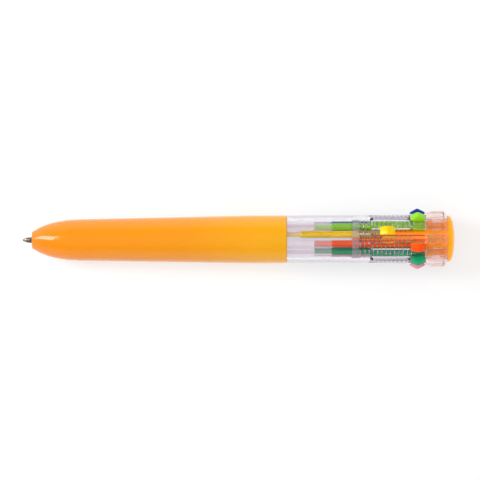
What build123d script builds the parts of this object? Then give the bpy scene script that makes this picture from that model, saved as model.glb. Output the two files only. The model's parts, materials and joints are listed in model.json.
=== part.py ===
from build123d import *

import os
from math import cos, pi, radians, sin, sqrt

# Ten-colour click pen: a barrel in two parts and ten sliding carriers, each with its spring
# and its refill. Dimensions are in millimetres. The pen lies along X with its nose towards
# -X. Stations are distances back from the nose face. Each row of the pen is a half plane
# through the pen's axis, turned by an angle from +Z towards +Y.

# ------------------------------------------------------------------ driving dimensions
BODY_LENGTH = 146.0  # nose face to the top of the end plug
POINT_OUT = 3.7  # how far an advanced point stands out of the nose
TRAVEL = 10.6  # stroke of every carrier

ROWS = (  # colour, angle of the row in degrees, how far the carrier is advanced
    ("yellow", 18, TRAVEL),
    ("orange", -18, 0),
    ("lime", 54, 0),
    ("green", -54, 0),
    ("blue", 90, 0),
    ("pink", -90, 0),
    ("turquoise", 126, 0),
    ("purple", -126, 0),
    ("red", 162, 0),
    ("black", -162, 0),
)
ROW_COUNT = len(ROWS)
ROW_RADIUS = 5.05  # axis of every carrier, spring and refill
FRONT_RADIUS = 3.8  # where a resting refill ends, beside the nose hole

# lower barrel
JOINT_X = 88.0  # seam between the two barrels
NOSE_FACE_R = 2.75
NOSE_HOLE_R = 1.6
NOSE_OUTLINE = ((3.1, 4.6), (8.6, 6.32), (17.0, 7.15))  # station, radius
NOSE_TANGENTS = ((1, 1.1), (1, 0.02))
NOSE_RIM_R = 0.25
SEAM_RIM_R = 0.2
BAND_X = 76.0  # the cylindrical band starts here
BAND_R = 8.25
FUNNEL_FRONT = (0.2, NOSE_HOLE_R)  # opens at once, so that a point can slant in
FUNNEL_MIDDLE = (8.0, 4.9)
FUNNEL_BACK = (17.0, 5.9)
SOCKET_X = 80.0  # front end of the socket for the clear barrel
CAVITY_R = 6.75  # cavity just ahead of that socket
SOCKET_R = 7.25

# clear barrel
SPIGOT_R = 7.2
SEAM = 0.06
END_GAP = 0.2  # between the end of a spigot or tenon and the bottom of its socket
CLEAR_FRONT_R = 8.22
CLEAR_BACK_R = 8.42
NECK_X = 135.8
NECK_R = 7.55
NECK_END_X = 142.0
FRONT_BORE_R = 6.4
BACK_BORE_R = 6.75
SLOT_X = 117.8  # centre of the round front end of a slot
SLOT_WIDTH = 2.4

# guide disc and core
DISC_X = 110.4
DISC_THICKNESS = 2.3
DISC_R = 6.7
GUIDE_HOLE_R = 1.22
CORE_R = 3.9
CORE_FLUTE_R = 1.68
CORE_PIN_R = 1.5
CORE_PIN_X = 110.7
CORE_FRONT_X = 113.0
CORE_TENON_R = 2.0
CORE_TENON_END_X = 140.4
FIT = 0.05  # radial clearance of pins and tenons

# end plug and ribbed ring
PLUG_X = 136.6
PLUG_R = 6.65
PLUG_GROOVE_R = 5.9
PLUG_GROOVE_X = (138.4, 141.0)
DOME_X = 143.3
DOME_R = 8.05
DOME_OUTLINE = ((144.3, 7.75), (145.1, 6.5), (145.7, 3.7))  # station, radius
DOME_TANGENTS = ((0.5, -1), (0, -1))
RING_X = 135.9
RING_FRONT_R = 8.95
RING_R = 9.55
RING_BACK_R = 8.5
RING_BORE_R = 7.6
RING_CHAMFER_FRONT = 2.3
RING_CHAMFER_BACK = 1.2
RIB_COUNT = 40
RIB_GROOVE_R = 0.5
RIB_GROOVE_DEPTH = 0.18

# carrier, in its back position
ROD_R = 1.15
ROD_X = 103.4
ROD_CHAMFER = 0.35
PEG_R = 0.83
PEG_X = 97.5
HEAD_X = 131.4
HEAD_END_X = 135.6
HEAD_R = 1.5
STEM_WIDTH = 2.2
STEM_X = (HEAD_X, 135.4)
STEM_TOP_R = 8.7
BUTTON_WIDTH = 2.9
BUTTON_BASE_R = 8.6
BUTTON_EAVE_R = 9.15
BUTTON_PEAK_R = 10.45
BUTTON_X = (130.5, 135.7)
BUTTON_PEAK_X = 133.05

# spring
WIRE_R = 0.16
COIL_R = 1.38
COIL_TURNS = 14
COIL_END_GAP = 0.03

# refill, in its back position
TUBE_R = 1.1
TUBE_BORE_R = 0.86
INK_R = 0.83
INK_END_X = 78.0
POINT_BACK_X = 13.0  # where the tube ends and the point begins
POINT_LENGTH = 5.7
SHANK_LENGTH = 3.0
SHANK_R = 0.83
POINT_R = 1.08
CONE_X = (0.48, 1.2, 2.9)  # stations behind the end of the ball
CONE_R = (0.42, 0.76, POINT_R)
BALL_R = 0.36
BALL_SEAT_R = 0.38
BACK_BENDS = (20.0, 48.0)  # a resting refill leaves its row between these stations
FORWARD_BENDS = (9.0, 62.0)  # an advanced refill runs in to the nose hole between these
BACK_BEND_R = 120.0
FORWARD_BEND_R = 60.0

# ------------------------------------------------------------------ frame
NOSE_X = POINT_OUT - (BODY_LENGTH + POINT_OUT) / 2
LOWEST_ROW = pi / ROW_COUNT  # the pen rests on the two rows this far from straight down
AXIS_Z = BUTTON_PEAK_R * cos(LOWEST_ROW) + BUTTON_WIDTH / 2 * sin(LOWEST_ROW)
NOSE = Vector(NOSE_X, 0, AXIS_Z)
AXIAL = Plane(origin=NOSE, x_dir=(1, 0, 0), z_dir=(0, -1, 0))
PEN_AXIS = Axis(NOSE, (1, 0, 0))


def cross_plane(station):
    """Plane across the pen at a station: local x is +Y, local y is +Z."""
    return Plane(origin=NOSE + Vector(station, 0, 0), x_dir=(0, 1, 0), z_dir=(1, 0, 0))


def row_plane(angle):
    """Side plane of a row: local x runs back along the pen, local y outwards."""
    turn = radians(angle)
    return Plane(origin=NOSE, x_dir=(1, 0, 0), z_dir=(0, -cos(turn), sin(turn)))


def row_section(angle, station, radius):
    """Plane across the pen at a station, centred on a row's own axis."""
    return Plane(
        origin=row_plane(angle).from_local_coords((station, radius, 0)),
        x_dir=row_plane(angle).y_dir,
        z_dir=(1, 0, 0),
    )


def refill_path(angle, front, back, advance):
    """Straight runs and tangent arcs from the front of a refill to a station behind it."""
    if advance:
        stations, radii, bend = FORWARD_BENDS, (0, ROW_RADIUS), FORWARD_BEND_R
    else:
        stations, radii, bend = BACK_BENDS, (FRONT_RADIUS, ROW_RADIUS), BACK_BEND_R
    side = row_plane(angle)
    corners = (
        (front - advance, radii[0]),
        (stations[0], radii[0]),
        (stations[1], radii[1]),
        (back - advance, radii[1]),
    )
    points = [side.from_local_coords((x, r, 0)) for x, r in corners]
    return FilletPolyline(*points, radius=bend)


def save(piece, name):
    piece.part.label = name
    export_step(piece.part, f"parts/{name}.step")


# ------------------------------------------------------------------ lower barrel
with BuildPart() as lower_barrel:
    with BuildSketch(AXIAL):
        with BuildLine():
            Line((0, NOSE_HOLE_R), (0, NOSE_FACE_R))
            Spline((0, NOSE_FACE_R), *NOSE_OUTLINE, tangents=NOSE_TANGENTS)
            Polyline(
                NOSE_OUTLINE[-1],
                (BAND_X, BAND_R),
                (JOINT_X, BAND_R),
                (JOINT_X, SOCKET_R),
                (SOCKET_X, SOCKET_R),
                (SOCKET_X, CAVITY_R),
                FUNNEL_BACK,
            )
            Spline(FUNNEL_BACK, FUNNEL_MIDDLE, FUNNEL_FRONT)
            Line(FUNNEL_FRONT, (0, NOSE_HOLE_R))
        make_face()
    revolve(axis=PEN_AXIS)
    rims = lower_barrel.edges().filter_by(GeomType.CIRCLE).group_by(Axis.X)
    fillet(rims[0].sort_by(SortBy.RADIUS)[-1], radius=NOSE_RIM_R)
    fillet(rims[-1].sort_by(SortBy.RADIUS)[-1], radius=SEAM_RIM_R)
save(lower_barrel, "lower_barrel")

# ------------------------------------------------------------------ clear barrel
with BuildPart() as upper_barrel:
    with BuildSketch(AXIAL):
        with BuildLine():
            Polyline(
                (SOCKET_X + END_GAP, FRONT_BORE_R),
                (SOCKET_X + END_GAP, SPIGOT_R),
                (JOINT_X + SEAM, SPIGOT_R),
                (JOINT_X + SEAM, CLEAR_FRONT_R),
                (NECK_X, CLEAR_BACK_R),
                (NECK_X, NECK_R),
                (NECK_END_X, NECK_R),
                (NECK_END_X, BACK_BORE_R),
                (DISC_X, BACK_BORE_R),
                (DISC_X, FRONT_BORE_R),
                close=True,
            )
        make_face()
    revolve(axis=PEN_AXIS)
    with BuildSketch(cross_plane(SLOT_X)):
        with PolarLocations(CLEAR_BACK_R, ROW_COUNT):
            Rectangle(2 * (CLEAR_BACK_R - ROW_RADIUS), SLOT_WIDTH)
    extrude(amount=NECK_END_X - SLOT_X + 1, mode=Mode.SUBTRACT)
    for _, angle, _ in ROWS:
        side = row_plane(angle)
        across = Plane(
            origin=side.from_local_coords((SLOT_X, ROW_RADIUS, 0)),
            x_dir=(1, 0, 0),
            z_dir=side.y_dir,
        )
        with BuildSketch(across):
            Circle(SLOT_WIDTH / 2)
        extrude(amount=CLEAR_BACK_R - ROW_RADIUS, mode=Mode.SUBTRACT)
save(upper_barrel, "upper_barrel")

# ------------------------------------------------------------------ guide disc
with BuildPart() as guide_disc:
    with BuildSketch(cross_plane(DISC_X)):
        Circle(DISC_R)
        Circle(CORE_PIN_R + FIT, mode=Mode.SUBTRACT)
        with PolarLocations(ROW_RADIUS, ROW_COUNT):
            Circle(GUIDE_HOLE_R, mode=Mode.SUBTRACT)
    extrude(amount=DISC_THICKNESS)
save(guide_disc, "guide_disc")

# ------------------------------------------------------------------ fluted core
with BuildPart() as core_post:
    with BuildSketch(cross_plane(CORE_FRONT_X)):
        Circle(CORE_R)
        with PolarLocations(ROW_RADIUS, ROW_COUNT):
            Circle(CORE_FLUTE_R, mode=Mode.SUBTRACT)
    extrude(amount=PLUG_X - CORE_FRONT_X)
    with BuildSketch(cross_plane(CORE_PIN_X)):
        Circle(CORE_PIN_R)
    extrude(amount=CORE_FRONT_X - CORE_PIN_X)
    with BuildSketch(cross_plane(PLUG_X)):
        Circle(CORE_TENON_R)
    extrude(amount=CORE_TENON_END_X - PLUG_X)
save(core_post, "core_post")

# ------------------------------------------------------------------ end plug
with BuildPart() as end_plug:
    with BuildSketch(AXIAL):
        with BuildLine():
            Polyline(
                (BODY_LENGTH, 0),
                (CORE_TENON_END_X + END_GAP, 0),
                (CORE_TENON_END_X + END_GAP, CORE_TENON_R + FIT),
                (PLUG_X, CORE_TENON_R + FIT),
                (PLUG_X, PLUG_R),
                (PLUG_GROOVE_X[0], PLUG_R),
                (PLUG_GROOVE_X[0], PLUG_GROOVE_R),
                (PLUG_GROOVE_X[1], PLUG_GROOVE_R),
                (PLUG_GROOVE_X[1], PLUG_R),
                (DOME_X, PLUG_R),
                (DOME_X, DOME_R),
                DOME_OUTLINE[0],
            )
            Spline(*DOME_OUTLINE, (BODY_LENGTH, 0), tangents=DOME_TANGENTS)
        make_face()
    revolve(axis=PEN_AXIS)
save(end_plug, "end_plug")

# ------------------------------------------------------------------ ribbed ring
with BuildPart() as ribbed_ring:
    with BuildSketch(AXIAL):
        Polygon(
            (RING_X, RING_BORE_R),
            (RING_X, RING_FRONT_R),
            (RING_X + RING_CHAMFER_FRONT, RING_R),
            (DOME_X - RING_CHAMFER_BACK, RING_R),
            (DOME_X, RING_BACK_R),
            (DOME_X, RING_BORE_R),
            align=None,
        )
    revolve(axis=PEN_AXIS)
    with BuildSketch(cross_plane(RING_X)):
        with PolarLocations(RING_R + RIB_GROOVE_R - RIB_GROOVE_DEPTH, RIB_COUNT):
            Circle(RIB_GROOVE_R)
    extrude(amount=DOME_X - RING_X, mode=Mode.SUBTRACT)
save(ribbed_ring, "ribbed_ring")

# ------------------------------------------------------------------ the ten colours
for colour, angle, advance in ROWS:
    side = row_plane(angle)
    front_radius = 0 if advance else FRONT_RADIUS

    # carrier: button, stem, head, rod and the peg that holds the refill
    with BuildPart() as slider:
        with BuildSketch(row_section(angle, ROD_X - advance, ROW_RADIUS)):
            Circle(ROD_R)
        extrude(amount=HEAD_X - ROD_X)
        front_rim = slider.edges().filter_by(GeomType.CIRCLE).sort_by(Axis.X)[0]
        chamfer(front_rim, length=ROD_CHAMFER)
        with BuildSketch(row_section(angle, PEG_X - advance, ROW_RADIUS)):
            Circle(PEG_R)
        extrude(amount=ROD_X - PEG_X)
        with BuildSketch(row_section(angle, HEAD_X - advance, ROW_RADIUS)):
            Circle(HEAD_R)
        extrude(amount=HEAD_END_X - HEAD_X)
        with BuildSketch(side):
            Polygon(
                (STEM_X[0] - advance, ROW_RADIUS),
                (STEM_X[0] - advance, STEM_TOP_R),
                (STEM_X[1] - advance, STEM_TOP_R),
                (STEM_X[1] - advance, ROW_RADIUS),
                align=None,
            )
        extrude(amount=STEM_WIDTH / 2, both=True)
        with BuildSketch(side):
            Polygon(
                (BUTTON_X[0] - advance, BUTTON_BASE_R),
                (BUTTON_X[0] - advance, BUTTON_EAVE_R),
                (BUTTON_PEAK_X - advance, BUTTON_PEAK_R),
                (BUTTON_X[1] - advance, BUTTON_EAVE_R),
                (BUTTON_X[1] - advance, BUTTON_BASE_R),
                align=None,
            )
        extrude(amount=BUTTON_WIDTH / 2, both=True)
    save(slider, f"slider_{colour}")

    # return spring between the guide disc and the carrier's head
    coil_start = DISC_X + DISC_THICKNESS + WIRE_R + COIL_END_GAP
    coil_length = HEAD_X - advance - coil_start - WIRE_R - COIL_END_GAP
    coil_centre = side.from_local_coords((coil_start, ROW_RADIUS, 0))
    with BuildPart() as spring:
        with BuildLine():
            coil = Helix(
                coil_length / COIL_TURNS, coil_length, COIL_R, coil_centre, (1, 0, 0)
            )
        with BuildSketch(Plane(origin=coil @ 0, z_dir=coil % 0)):
            Circle(WIRE_R)
        sweep(path=coil, is_frenet=True)
    save(spring, f"spring_{colour}")

    # refill tube
    with BuildPart() as tube:
        with BuildLine():
            tube_path = refill_path(angle, POINT_BACK_X, ROD_X, advance)
        with BuildSketch(row_section(angle, POINT_BACK_X - advance, front_radius)):
            Circle(TUBE_R)
            Circle(TUBE_BORE_R, mode=Mode.SUBTRACT)
        sweep(path=tube_path)
    save(tube, f"refill_tube_{colour}")

    # ink column behind the point's shank
    with BuildPart() as ink:
        with BuildLine():
            ink_path = refill_path(angle, POINT_BACK_X + SHANK_LENGTH, INK_END_X, advance)
        with BuildSketch(row_section(angle, POINT_BACK_X + SHANK_LENGTH - advance, front_radius)):
            Circle(INK_R)
        sweep(path=ink_path)
    save(ink, f"ink_{colour}")

    # writing point: turned socket with its ball
    point_end = POINT_BACK_X - POINT_LENGTH - advance
    tip_origin = side.from_local_coords((point_end, front_radius, 0))
    seat_rim_r = sqrt(BALL_SEAT_R**2 - (CONE_X[0] - BALL_R) ** 2)
    with BuildPart() as point:
        with BuildSketch(Plane(origin=tip_origin, x_dir=AXIAL.x_dir, z_dir=AXIAL.z_dir)):
            with BuildLine():
                RadiusArc((CONE_X[0], seat_rim_r), (BALL_R + BALL_SEAT_R, 0), BALL_SEAT_R)
                Polyline(
                    (BALL_R + BALL_SEAT_R, 0),
                    (POINT_LENGTH + SHANK_LENGTH, 0),
                    (POINT_LENGTH + SHANK_LENGTH, SHANK_R),
                    (POINT_LENGTH, SHANK_R),
                    (POINT_LENGTH, POINT_R),
                    (CONE_X[2], CONE_R[2]),
                    (CONE_X[1], CONE_R[1]),
                    (CONE_X[0], CONE_R[0]),
                    (CONE_X[0], seat_rim_r),
                )
            make_face()
        revolve(axis=Axis(tip_origin, (1, 0, 0)))
        with Locations(tip_origin + Vector(BALL_R, 0, 0)):
            Sphere(BALL_R)
    save(point, f"point_{colour}")
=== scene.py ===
import json
import math

import bmesh
import bpy
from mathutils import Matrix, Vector


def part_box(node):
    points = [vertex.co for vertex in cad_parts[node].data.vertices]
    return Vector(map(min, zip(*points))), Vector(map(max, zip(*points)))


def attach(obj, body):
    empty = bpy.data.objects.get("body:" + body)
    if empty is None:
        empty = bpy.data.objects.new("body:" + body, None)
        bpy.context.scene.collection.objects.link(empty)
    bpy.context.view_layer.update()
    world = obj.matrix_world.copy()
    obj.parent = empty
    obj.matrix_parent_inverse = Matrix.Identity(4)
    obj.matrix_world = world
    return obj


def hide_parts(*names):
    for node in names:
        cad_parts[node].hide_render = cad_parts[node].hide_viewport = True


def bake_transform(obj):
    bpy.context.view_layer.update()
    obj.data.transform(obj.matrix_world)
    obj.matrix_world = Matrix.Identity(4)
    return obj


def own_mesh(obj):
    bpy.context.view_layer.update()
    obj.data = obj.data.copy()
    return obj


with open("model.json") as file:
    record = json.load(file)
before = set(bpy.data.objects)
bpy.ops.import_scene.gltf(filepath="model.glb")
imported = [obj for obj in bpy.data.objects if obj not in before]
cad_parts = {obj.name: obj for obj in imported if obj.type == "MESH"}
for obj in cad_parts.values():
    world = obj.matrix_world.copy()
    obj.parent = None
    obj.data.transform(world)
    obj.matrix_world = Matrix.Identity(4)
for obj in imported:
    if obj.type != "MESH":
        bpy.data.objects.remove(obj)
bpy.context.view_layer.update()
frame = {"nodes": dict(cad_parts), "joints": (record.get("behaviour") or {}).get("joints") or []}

MM = 0.001
X_AXIS = Vector((1, 0, 0))

# ---------------------------------------------------------------- places, from the frame
barrel_low, barrel_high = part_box("lower_barrel")
NOSE_X = barrel_low[0]
JOINT = (barrel_high[0] - NOSE_X) / MM  # stations are mm behind the nose face
BAND_R = (barrel_high[2] - barrel_low[2]) / 2 / MM
AXIS_Z = (barrel_high[2] + barrel_low[2]) / 2
_, disc_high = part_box("guide_disc")
plug_low, plug_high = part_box("end_plug")
END = (plug_high[0] - NOSE_X) / MM
DOME_R = (plug_high[2] - plug_low[2]) / 2 / MM

joints = {j["name"]: j for j in frame["joints"]}
COLOURS = [n[len("press_"):] for n in joints if n.startswith("press_")]
OUTWARD = {c: -Vector(joints["lean_" + c]["axis"]) for c in COLOURS}
ADVANCED = {c: joints["press_" + c]["range_m"][0] < 0 for c in COLOURS}
TRAVEL = joints["press_orange"]["range_m"][1] / MM
ROW_R = 5.05  # carriers, springs and the backs of the refills
RESTING_R = 3.8  # front end of a resting refill
BUTTON_PEAK = 133.05

# ---------------------------------------------------------------- mesh helpers
def place(station, radius=0.0, outward=Vector((0, 0, 1))):
    """Point at a station behind the nose face, a radius out from the pen's axis."""
    return Vector((NOSE_X + station * MM, 0, AXIS_Z)) + outward * (radius * MM)


def add_mesh(name, verts, faces, sharp=40):
    mesh = bpy.data.meshes.new(name)
    mesh.from_pydata([tuple(v) for v in verts], [], faces)
    mesh.validate()
    mesh.shade_smooth()
    mesh.set_sharp_from_angle(angle=math.radians(sharp))
    obj = bpy.data.objects.new(name, mesh)
    bpy.context.scene.collection.objects.link(obj)
    return obj


def smooth_outline(points, steps):
    """Catmull-Rom curve through (station, radius) points, ends included."""
    out = []
    padded = [points[0], *points, points[-1]]
    for a, b, c, d in zip(padded, padded[1:], padded[2:], padded[3:]):
        for i in range(steps):
            t = i / steps
            out.append(tuple(
                0.5 * (2 * q + (r - p) * t + (2 * p - 5 * q + 4 * r - s) * t**2
                       + (3 * q - p - 3 * r + s) * t**3)
                for p, q, r, s in zip(a, b, c, d)
            ))
    return out + [points[-1]]


def ring_faces(rings, sides, closed=False):
    faces = []
    last = rings if closed else rings - 1
    for i in range(last):
        for k in range(sides):
            a, b = i * sides, (i + 1) % rings * sides
            faces.append((a + k, a + (k + 1) % sides, b + (k + 1) % sides, b + k))
    return faces


def lathe(name, outline, sides=96, centre=None, closed=True):
    """Turns an outline of (station, radius) about the pen's axis or a line beside it.

    A closed outline is a ring's section; an open one starts and ends on the axis."""
    offset = centre or Vector((0, 0, 0))
    verts = []
    for station, radius in outline:
        for k in range(sides):
            turn = 2 * math.pi * k / sides
            out = Vector((0, math.sin(turn), math.cos(turn)))
            verts.append(place(station, max(radius, 1e-4), out) + offset)
    faces = ring_faces(len(outline), sides, closed)
    if not closed:
        faces.append(tuple(range(sides))[::-1])
        faces.append(tuple(range((len(outline) - 1) * sides, len(outline) * sides)))
    return add_mesh(name, verts, faces)


def sweep(name, centres, radius, sides, bore=None):
    """Round rod along points that run close to the pen's X; a bore makes it a tube."""
    verts = []
    loops = [(c, radius) for c in centres]
    if bore:
        loops += [(c, bore) for c in reversed(centres)]
    for c, r in loops:
        for k in range(sides):
            turn = 2 * math.pi * k / sides
            verts.append(c + Vector((0, math.sin(turn), math.cos(turn))) * (r * MM))
    faces = ring_faces(len(loops), sides, closed=bool(bore))
    if not bore:
        faces.append(tuple(range(sides))[::-1])
        faces.append(tuple(range((len(loops) - 1) * sides, len(loops) * sides)))
    return add_mesh(name, verts, faces)


def join(name, parts, bevel=0.0, segments=3):
    """One piece from several closed bodies, with its sharp edges rounded."""
    with bpy.context.temp_override(
        active_object=parts[0], selected_editable_objects=parts, selected_objects=parts
    ):
        bpy.ops.object.join()
    obj = parts[0]
    obj.name = name
    if bevel:
        mod = obj.modifiers.new("edges", "BEVEL")
        mod.width = bevel * MM
        mod.segments = segments
        mod.limit_method = "ANGLE"
        mod.angle_limit = math.radians(35)
        depsgraph = bpy.context.evaluated_depsgraph_get()
        obj.data = bpy.data.meshes.new_from_object(obj.evaluated_get(depsgraph))
        obj.modifiers.clear()
        obj.data.shade_smooth()
        obj.data.set_sharp_from_angle(angle=math.radians(50))
    return obj


def prism(name, colour, outline, half_width):
    """Extrudes a (station, radius) outline across its row."""
    out = OUTWARD[colour]
    across = out.cross(X_AXIS)
    count = len(outline)
    verts = [place(s, r, out) + across * (half_width * MM * side) for side in (-1, 1)
             for s, r in outline]
    faces = [tuple(range(count)), tuple(range(2 * count - 1, count - 1, -1))]
    for k in range(count):
        n = (k + 1) % count
        faces.append((k, count + k, count + n, n))
    obj = add_mesh(name, verts, faces)
    mesh = obj.data
    bm = bmesh.new()
    bm.from_mesh(mesh)
    bmesh.ops.recalc_face_normals(bm, faces=bm.faces)
    bm.to_mesh(mesh)
    bm.free()
    return obj


def smoothstep(t):
    t = min(1.0, max(0.0, t))
    return t * t * (3 - 2 * t)


# ---------------------------------------------------------------- materials
def srgb(r, g, b):
    def lin(v):
        v /= 255
        return v / 12.92 if v <= 0.04045 else ((v + 0.055) / 1.055) ** 2.4
    return (lin(r), lin(g), lin(b), 1.0)


def material(name, roughness, ior=1.46, coat=0.0, transmission=0.0, metallic=0.0,
             subsurface=0.0, painted_glow=None):
    """Principled material. painted_glow = (colour, strength) of emission: painted light that stands in
    for light coming through a plastic.
    """
    mat = bpy.data.materials.new(name)
    mat.use_nodes = True
    shader = mat.node_tree.nodes["Principled BSDF"]
    shader.inputs["Roughness"].default_value = roughness
    shader.inputs["IOR"].default_value = ior
    shader.inputs["Coat Weight"].default_value = coat
    shader.inputs["Coat Roughness"].default_value = 0.08
    shader.inputs["Transmission Weight"].default_value = transmission
    shader.inputs["Metallic"].default_value = metallic
    shader.inputs["Subsurface Weight"].default_value = subsurface
    shader.inputs["Subsurface Radius"].default_value = (0.0025, 0.0012, 0.0004)
    shader.inputs["Subsurface Scale"].default_value = 1.0
    if painted_glow:
        shader.inputs["Emission Color"].default_value = painted_glow[0]
        shader.inputs["Emission Strength"].default_value = painted_glow[1]
    return mat


def moulded(mat, low, high, scale=260.0, bump=0.02, stretch=1.0, along_x=None):
    """Slow colour drift of moulded plastic, with a very fine flow texture in its surface.

    along_x = (first station, last station, colours) grades the colour along the pen."""
    nodes, links = mat.node_tree.nodes, mat.node_tree.links
    shader = nodes["Principled BSDF"]
    coords = nodes.new("ShaderNodeTexCoord")
    mapping = nodes.new("ShaderNodeMapping")
    mapping.inputs["Scale"].default_value = (1 / stretch, 1, 1)
    links.new(coords.outputs["Object"], mapping.inputs["Vector"])
    drift = nodes.new("ShaderNodeTexNoise")
    drift.inputs["Scale"].default_value = scale
    drift.inputs["Detail"].default_value = 3
    links.new(mapping.outputs["Vector"], drift.inputs["Vector"])
    blend = nodes.new("ShaderNodeValToRGB")
    blend.color_ramp.elements[0].position = 0.3
    blend.color_ramp.elements[0].color = low
    blend.color_ramp.elements[1].position = 0.7
    blend.color_ramp.elements[1].color = high
    links.new(drift.outputs["Fac"], blend.inputs["Fac"])
    colour = blend.outputs["Color"]
    if along_x:
        first, last, stops = along_x
        split = nodes.new("ShaderNodeSeparateXYZ")
        links.new(coords.outputs["Object"], split.inputs["Vector"])
        span = nodes.new("ShaderNodeMapRange")
        span.inputs["From Min"].default_value = place(first).x
        span.inputs["From Max"].default_value = place(last).x
        links.new(split.outputs["X"], span.inputs["Value"])
        ramp = nodes.new("ShaderNodeValToRGB")
        while len(ramp.color_ramp.elements) < len(stops):
            ramp.color_ramp.elements.new(0.5)
        for element, (position, stop) in zip(ramp.color_ramp.elements, stops):
            element.position = position
            element.color = stop
        links.new(span.outputs["Result"], ramp.inputs["Fac"])
        mix = nodes.new("ShaderNodeMix")
        mix.data_type = "RGBA"
        mix.blend_type = "MULTIPLY"
        mix.inputs["Factor"].default_value = 1.0
        links.new(ramp.outputs["Color"], mix.inputs["A"])
        links.new(colour, mix.inputs["B"])
        colour = mix.outputs["Result"]
    links.new(colour, shader.inputs["Base Color"])
    grain = nodes.new("ShaderNodeTexNoise")
    grain.inputs["Scale"].default_value = scale * 12
    grain.inputs["Detail"].default_value = 4
    links.new(mapping.outputs["Vector"], grain.inputs["Vector"])
    rough = nodes.new("ShaderNodeMapRange")
    base = shader.inputs["Roughness"].default_value
    rough.inputs["To Min"].default_value = base * 0.8
    rough.inputs["To Max"].default_value = base * 1.25
    links.new(grain.outputs["Fac"], rough.inputs["Value"])
    links.new(rough.outputs["Result"], shader.inputs["Roughness"])
    height = nodes.new("ShaderNodeBump")
    height.inputs["Strength"].default_value = bump
    height.inputs["Distance"].default_value = 0.0002
    links.new(grain.outputs["Fac"], height.inputs["Height"])
    links.new(height.outputs["Normal"], shader.inputs["Normal"])
    return mat


def tinted(colour, amount):
    return tuple(min(1.0, c * amount) for c in colour[:3]) + (1.0,)


# painted light: the shell's colour runs from a deeper orange at the nose to a lighter, yellower orange
# at the joint, for the light that falls on that end
ORANGE_PAINTED_LIGHT_STOPS = [
    (0.0, srgb(250, 134, 8)), (0.12, srgb(249, 146, 8)),
    (0.6, srgb(249, 156, 14)), (1.0, srgb(255, 180, 14)),
]
WHITE_LOW, WHITE_HIGH = (0.96, 0.95, 0.95, 1), (1, 1, 1, 1)
shell_orange = moulded(
    material("shell_orange", 0.16, coat=0.25, subsurface=0.08), WHITE_LOW, WHITE_HIGH,
    scale=90, stretch=6, along_x=(0, JOINT, ORANGE_PAINTED_LIGHT_STOPS),
)
# painted glow: emission brightens the core post seen through the slots
core_orange = moulded(
    material("core_orange", 0.22, painted_glow=(srgb(255, 138, 0), 0.34)),
    srgb(252, 132, 0), srgb(255, 154, 8),
)
# painted glow: emission lightens the plug seen through the ribbed ring
plug_orange = moulded(
    material("plug_orange", 0.3, ior=1.36, painted_glow=(srgb(255, 156, 0), 0.28)),
    srgb(238, 162, 0), srgb(246, 174, 4),
)
clear = moulded(
    material("clear_plastic", 0.03, ior=1.2, coat=0.5, transmission=1.0),
    (0.87, 0.86, 0.90, 1), (0.91, 0.90, 0.94, 1), scale=120, stretch=8, bump=0.001,
)
clear_pink = moulded(
    material("clear_ring", 0.05, ior=1.22, coat=0.8, transmission=1.0),
    srgb(255, 226, 222), srgb(255, 238, 235), scale=150, bump=0.004,
)
milky = moulded(
    material("milky_disc", 0.12, ior=1.06, transmission=0.85, coat=0.5),
    srgb(250, 246, 248), srgb(255, 255, 255),
)
# painted glow: faint emission brightens the refill tubes behind the clear barrel
tube_clear = moulded(
    material("refill_tube", 0.08, ior=1.07, coat=0.2, transmission=0.92,
             painted_glow=(srgb(255, 246, 244), 0.065)),
    srgb(246, 240, 244), srgb(254, 252, 254), scale=200, stretch=10, bump=0.002,
)
steel = moulded(
    material("spring_wire", 0.22, metallic=1.0), srgb(168, 163, 158), srgb(214, 210, 205),
    scale=900,
)
# painted shade: the point metal is a darker, browner grey than bare steel, for the shade where the
# point sits in the nose
point_steel = moulded(
    material("point_metal", 0.2, metallic=1.0), srgb(112, 98, 90), srgb(160, 146, 136),
    scale=1500, bump=0.05,
)
BUTTON_COLOURS = {
    "yellow": srgb(255, 208, 0), "orange": srgb(255, 84, 0), "lime": srgb(146, 218, 24),
    "green": srgb(0, 154, 100), "blue": srgb(14, 60, 148), "pink": srgb(240, 152, 172),
    "turquoise": srgb(40, 178, 206), "purple": srgb(112, 52, 150), "red": srgb(214, 24, 32),
    "black": srgb(34, 34, 38),
}
# painted glow: emission in each carrier's own colour brightens the carriers
carrier_plastic = {
    c: moulded(
        material("plastic_" + c, 0.24, ior=1.34, painted_glow=(v, 0.14)), tinted(v, 0.85), tinted(v, 1.0),
    )
    for c, v in BUTTON_COLOURS.items()
}
ink_fill = {
    c: moulded(material("ink_" + c, 0.1), tinted(v, 0.7), tinted(v, 0.95), scale=500)
    for c, v in BUTTON_COLOURS.items()
}


def finish(obj, mat, slot, body=None, *nodes):
    obj.data.materials.clear()
    obj.data.materials.append(mat)
    if body:
        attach(obj, body)
    if nodes:
        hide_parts(*nodes)


def dress(node, mat):
    obj = frame["nodes"][node]
    for material_slot in obj.material_slots:
        material_slot.material = mat


# ---------------------------------------------------------------- lower barrel
NOSE_POINTS = [
    (0.2, 2.97), (1.0, 3.45), (3.1, 4.6), (5.6, 5.55), (8.6, 6.32), (12.5, 6.9), (17.0, 7.15),
]
nose = smooth_outline(NOSE_POINTS, 8)
funnel = smooth_outline([(17.0, 5.9), (8.0, 4.9), (4.0, 3.4), (0.2, 1.6)], 6)
barrel_outline = [
    *funnel, (0.0, 1.75), (0.0, 2.72), (0.06, 2.88), *nose,
    (30.0, 7.39), (45.0, 7.67), (60.0, 7.95), (76.0, BAND_R), (JOINT - 0.45, BAND_R),
    (JOINT - 0.2, BAND_R - 0.05), (JOINT - 0.05, BAND_R - 0.16), (JOINT, BAND_R - 0.35),
    (JOINT, 7.25), (80.0, 7.25), (80.0, 6.75),
]
shell = lathe("barrel_shell", barrel_outline, sides=160)
finish(shell, shell_orange, "orange_shell", "root", "lower_barrel")

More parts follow.
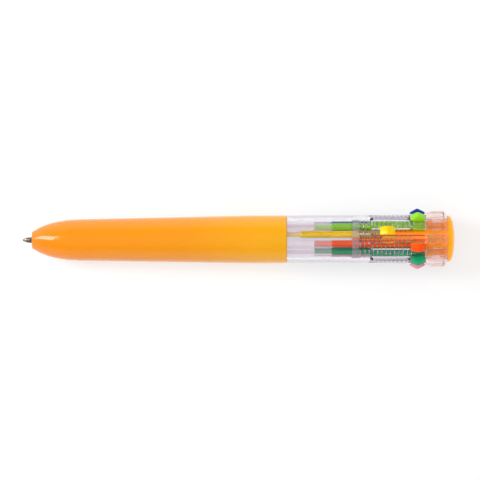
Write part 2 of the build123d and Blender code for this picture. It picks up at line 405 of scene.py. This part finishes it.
# ---------------------------------------------------------------- end plug and CAD nodes
DOME_POINTS = [(143.3, DOME_R), (144.3, 7.75), (145.1, 6.5), (145.7, 3.7), (END, 0.0)]
dome = smooth_outline(DOME_POINTS, 8)
plug_outline = [
    (140.6, 0.0), (140.6, 2.05), (136.6, 2.05), (136.6, 6.5), (136.75, 6.65), (138.4, 6.65),
    (138.5, 5.9), (140.9, 5.9), (141.0, 6.65), (143.3, 6.65), (143.3, DOME_R - 0.1), *dome,
]
plug = lathe("dome_plug", plug_outline, sides=128, closed=False)
finish(plug, plug_orange, "orange_plug", "root", "end_plug")
dress("upper_barrel", clear)
dress("guide_disc", milky)
dress("core_post", core_orange)
dress("ribbed_ring", clear_pink)

# ---------------------------------------------------------------- carriers
ROD_START, PEG, HEAD = 103.4, (97.5, 103.5), (131.4, 135.6)
GABLE = [
    (130.5, 8.6), (130.5, 9.12), (130.75, 9.32), (132.7, 10.36), (BUTTON_PEAK, 10.45),
    (133.4, 10.36), (135.45, 9.32), (135.7, 9.12), (135.7, 8.6),
]
STEM = [(HEAD[0], ROW_R), (HEAD[0], 8.7), (135.4, 8.7), (135.4, ROW_R)]
STEM_HALF_WIDTH, BUTTON_HALF_WIDTH = 1.1, 1.45
ROD_OUTLINE = [
    (PEG[0], 0.0), (PEG[0], 0.6), (PEG[0] + 0.25, 0.83), (PEG[1], 0.83), (ROD_START, 0.86),
    (ROD_START + 0.25, 1.05), (ROD_START + 0.6, 1.15), (HEAD[0], 1.15), (HEAD[0], 1.35),
    (HEAD[0] + 0.15, 1.5), (HEAD[1] - 0.15, 1.5), (HEAD[1], 1.35), (HEAD[1], 0.0),
]


def carrier(colour):
    """Rod, stem and button of one colour, in one piece."""
    back = TRAVEL if ADVANCED[colour] else 0.0

    def shifted(points):
        return [(s - back, r) for s, r in points]

    row = OUTWARD[colour] * (ROW_R * MM)
    rod = lathe("rod_" + colour, shifted(ROD_OUTLINE), sides=32, centre=row, closed=False)
    stem = prism("stem_" + colour, colour, shifted(STEM), STEM_HALF_WIDTH)
    button = prism("button_" + colour, colour, shifted(GABLE), BUTTON_HALF_WIDTH)
    button = join("button_" + colour, [button, stem], bevel=0.4)
    piece = join("carrier_piece_" + colour, [rod, button])
    finish(piece, carrier_plastic[colour], "plastic_" + colour, "carrier_" + colour, "slider_" + colour)


# ---------------------------------------------------------------- springs
COIL_R, WIRE_R, TURNS, WIRE_SIDES, STEPS = 1.36, 0.18, 14, 8, 24
END_GAP = 0.2  # from the middle of the end wire to the disc or the head
SPRING_START = (disc_high[0] - NOSE_X) / MM + END_GAP


def spring(colour):
    """Return spring: closed end coils, open coils between, wire of round section."""
    out = OUTWARD[colour]
    across = out.cross(X_AXIS)
    back = TRAVEL if ADVANCED[colour] else 0.0
    length = HEAD[0] - back - END_GAP - SPRING_START
    count = TURNS * STEPS
    verts = []
    for i in range(count + 1):
        turn = i / STEPS
        closed_start, closed_end = min(turn, 1.0), max(0.0, turn - (TURNS - 1))
        open_turns = turn - closed_start - closed_end
        end_pitch = 2 * WIRE_R
        pitch = (length - 2 * end_pitch) / (TURNS - 2)
        station = SPRING_START + (closed_start + closed_end) * end_pitch + open_turns * pitch
        angle = 2 * math.pi * turn
        radial = out * math.cos(angle) + across * math.sin(angle)
        centre = place(station, ROW_R, out) + radial * (COIL_R * MM)
        for k in range(WIRE_SIDES):
            a = 2 * math.pi * k / WIRE_SIDES
            verts.append(centre + (radial * math.cos(a) + X_AXIS * math.sin(a)) * (WIRE_R * MM))
    faces = ring_faces(count + 1, WIRE_SIDES)
    faces.append(tuple(range(WIRE_SIDES))[::-1])
    faces.append(tuple(range(count * WIRE_SIDES, (count + 1) * WIRE_SIDES)))
    piece = add_mesh("coil_" + colour, verts, faces, sharp=80)
    finish(piece, steel, "spring_steel", None, "spring_" + colour)
    if ADVANCED[colour]:
        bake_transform(piece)
    else:
        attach(piece, "root")
        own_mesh(piece)


# ---------------------------------------------------------------- refills
POINT_BACK, POINT_LENGTH, SHANK, INK_END = 13.0, 5.7, 3.0, 78.0
TUBE_R, TUBE_BORE_R, INK_R = 1.1, 0.86, 0.83
RESTING_BEND, FORWARD_BEND = (16.5, 50.0), (5.5, 65.0)
POINT_OUTLINE = [
    (0.004, 0.0), (0.02, 0.13), (0.09, 0.24), (0.2, 0.33), (0.34, 0.37), (0.5, 0.37), (0.52, 0.44),
    (0.8, 0.6), (1.2, 0.76), (1.8, 0.89), (2.9, 1.06), (3.1, 1.08), (5.6, 1.08), (5.7, 0.98),
    (5.7, 0.83), (8.7, 0.83), (8.7, 0.0),
]


def refill(colour):
    """Tube, ink column and writing point of one colour."""
    out = OUTWARD[colour]
    back = TRAVEL if ADVANCED[colour] else 0.0
    front_r = 0.0 if ADVANCED[colour] else RESTING_R
    bend = FORWARD_BEND if ADVANCED[colour] else RESTING_BEND

    def centre_line(first, last, count=72):
        line = []
        for i in range(count + 1):
            station = first + (last - first) * i / count
            share = smoothstep((station - bend[0]) / (bend[1] - bend[0]))
            line.append(place(station, front_r + (ROW_R - front_r) * share, out))
        return line

    front = POINT_BACK - back
    line = centre_line(front, ROD_START - back)
    tube = sweep("tube_" + colour, line, TUBE_R, sides=24, bore=TUBE_BORE_R)
    finish(tube, tube_clear, "refill_clear", None, "refill_tube_" + colour)
    line = centre_line(front + SHANK, INK_END - back)
    ink = sweep("ink_column_" + colour, line, INK_R, sides=16)
    finish(ink, ink_fill[colour], "ink_" + colour, None, "ink_" + colour)
    for piece in (tube, ink):
        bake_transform(piece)
    tip_start = front - POINT_LENGTH
    outline = [(tip_start + s, r) for s, r in POINT_OUTLINE]
    tip = lathe("tip_piece_" + colour, outline, sides=40, centre=out * (front_r * MM), closed=False)
    finish(tip, point_steel, "point_metal", "tip_" + colour, "point_" + colour)


for c in COLOURS:
    carrier(c)
    spring(c)
    refill(c)

# ---------------------------------------------------------------- floor, light, camera
REST_STATION, REST_R = 17.0, 7.15  # the nose touches the floor here
rest_height = AXIS_Z - REST_R * MM
FLOOR_TILT = math.atan(rest_height / ((BUTTON_PEAK - REST_STATION) * MM))
FLOOR_HALF = 3.0
floor_mesh = bpy.data.meshes.new("floor")
button_x = place(BUTTON_PEAK).x
corners = [(-1, -1), (1, -1), (1, 1), (-1, 1)]
floor_mesh.from_pydata(
    [(button_x + x * FLOOR_HALF, y * FLOOR_HALF, -x * FLOOR_HALF * math.tan(FLOOR_TILT))
     for x, y in corners],
    [], [(0, 1, 2, 3)],
)
floor = bpy.data.objects.new("floor", floor_mesh)
bpy.context.scene.collection.objects.link(floor)
floor_mat = material("floor_white", 0.6)
floor_shader = floor_mat.node_tree.nodes["Principled BSDF"]
floor_shader.inputs["Base Color"].default_value = (0.4, 0.4, 0.4, 1)
floor_shader.inputs["Specular IOR Level"].default_value = 0.1
floor_shader.inputs["Emission Color"].default_value = (1, 1, 1, 1)
floor_shader.inputs["Emission Strength"].default_value = 0.62
floor_mesh.materials.append(floor_mat)


def area_light(name, location, target, size, power, glossy=True):
    data = bpy.data.lights.new(name, "AREA")
    data.shape = "RECTANGLE"
    data.size, data.size_y = size
    data.energy = power
    obj = bpy.data.objects.new(name, data)
    bpy.context.scene.collection.objects.link(obj)
    obj.location = location
    obj.rotation_euler = (Vector(target) - Vector(location)).to_track_quat("-Z", "Y").to_euler()
    obj.visible_glossy = glossy
    return obj


centre = Vector((0.0, 0.0, AXIS_Z))
area_light("overhead", centre + Vector((0, 0, 0.9)), centre, (1.2, 1.2), 5.0, glossy=False)
area_light("key", place(6.0) + Vector((-0.42, 0.16, 0.42)), place(6.0), (0.22, 0.42), 2.6)

world = bpy.data.worlds.new("studio")
bpy.context.scene.world = world
world.use_nodes = True
wn, wl = world.node_tree.nodes, world.node_tree.links
sky = wn["Background"]
coords = wn.new("ShaderNodeTexCoord")
split = wn.new("ShaderNodeSeparateXYZ")
ramp = wn.new("ShaderNodeValToRGB")
ramp.color_ramp.elements[0].color = (1.0, 1.0, 1.0, 1)
ramp.color_ramp.elements[0].position = 0.15
ramp.color_ramp.elements[1].color = (0.2, 0.2, 0.21, 1)
ramp.color_ramp.elements[1].position = 0.65
wl.new(coords.outputs["Generated"], split.inputs["Vector"])
wl.new(split.outputs["Z"], ramp.inputs["Fac"])
wl.new(ramp.outputs["Color"], sky.inputs["Color"])
sky.inputs["Strength"].default_value = 0.95

VIEW_WIDTH = 165.936 * MM  # across the view, at the pen's axis
VIEW_STATION, VIEW_ACROSS, VIEW_ROLL = 71.84, -0.2, -0.19  # mm, mm, degrees
LENS, SENSOR = 250.0, 36.0
camera_data = bpy.data.cameras.new("camera")
camera_data.lens = LENS
camera_data.sensor_width = SENSOR
camera = bpy.data.objects.new("camera", camera_data)
bpy.context.scene.collection.objects.link(camera)
camera.location = (place(VIEW_STATION).x, VIEW_ACROSS * MM, AXIS_Z + VIEW_WIDTH * LENS / SENSOR)
camera.rotation_euler = (0, 0, math.radians(VIEW_ROLL))
bpy.context.scene.camera = camera
bpy.context.scene.view_settings.view_transform = "Standard"
